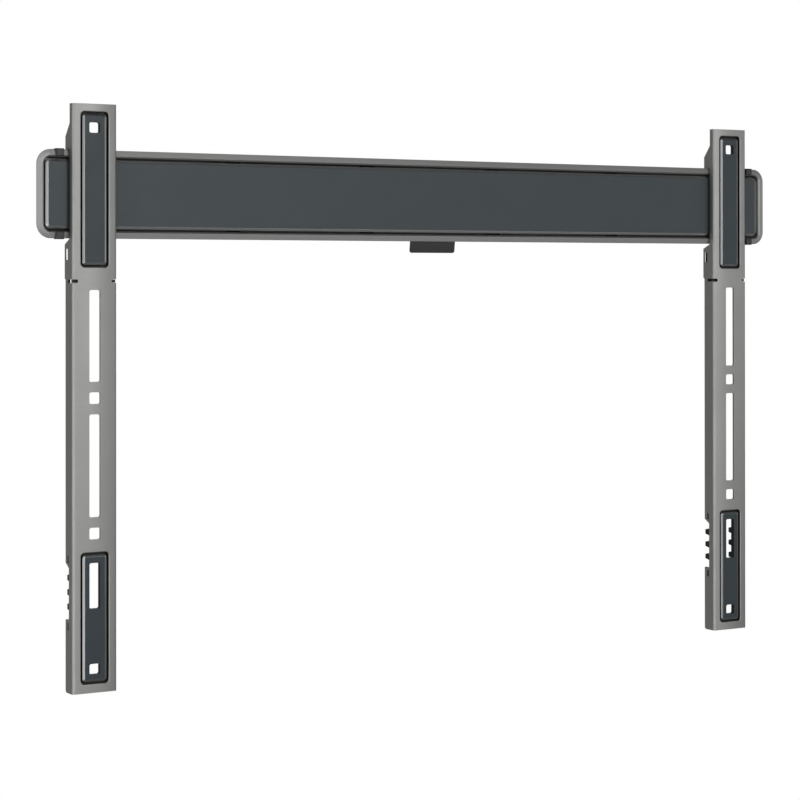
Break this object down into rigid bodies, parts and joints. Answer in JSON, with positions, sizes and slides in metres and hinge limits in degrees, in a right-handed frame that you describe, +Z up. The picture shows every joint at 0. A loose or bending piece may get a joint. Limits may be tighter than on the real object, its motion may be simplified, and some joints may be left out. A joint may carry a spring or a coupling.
{
  "type": "fixed tv wall bracket",
  "caption": "Low-profile fixed wall bracket for a flat screen: a pressed steel wall plate with a dark cover panel, and slotted channel arms that hook over its rim.",
  "frame": {"origin": "middle of the wall plate, on its wall face", "axes": "+X to the right along the plate, +Y into the wall, +Z up"},
  "size_m": [0.686, 0.015, 0.435],
  "materials": {
    "plate_steel": "satin grey",
    "arm_steel": "satin silver grey",
    "panel_plastic": "fine matt grain",
    "insert_plastic": "fine matt grain",
    "black_plastic": "matt"
  },
  "bodies": {
    "root": {"wall_plate": "plate_steel", "cover_panel": "panel_plastic", "centre_tab": "black_plastic", "end_stop_left_top": "black_plastic", "end_stop_left_bottom": "black_plastic", "end_stop_right_top": "black_plastic", "end_stop_right_bottom": "black_plastic", "arm_left": "arm_steel", "arm_right": "arm_steel", "upper_insert_left": "insert_plastic", "upper_insert_right": "insert_plastic", "lower_insert_left": "insert_plastic", "lower_insert_right": "insert_plastic"}
  },
  "joints": []
}
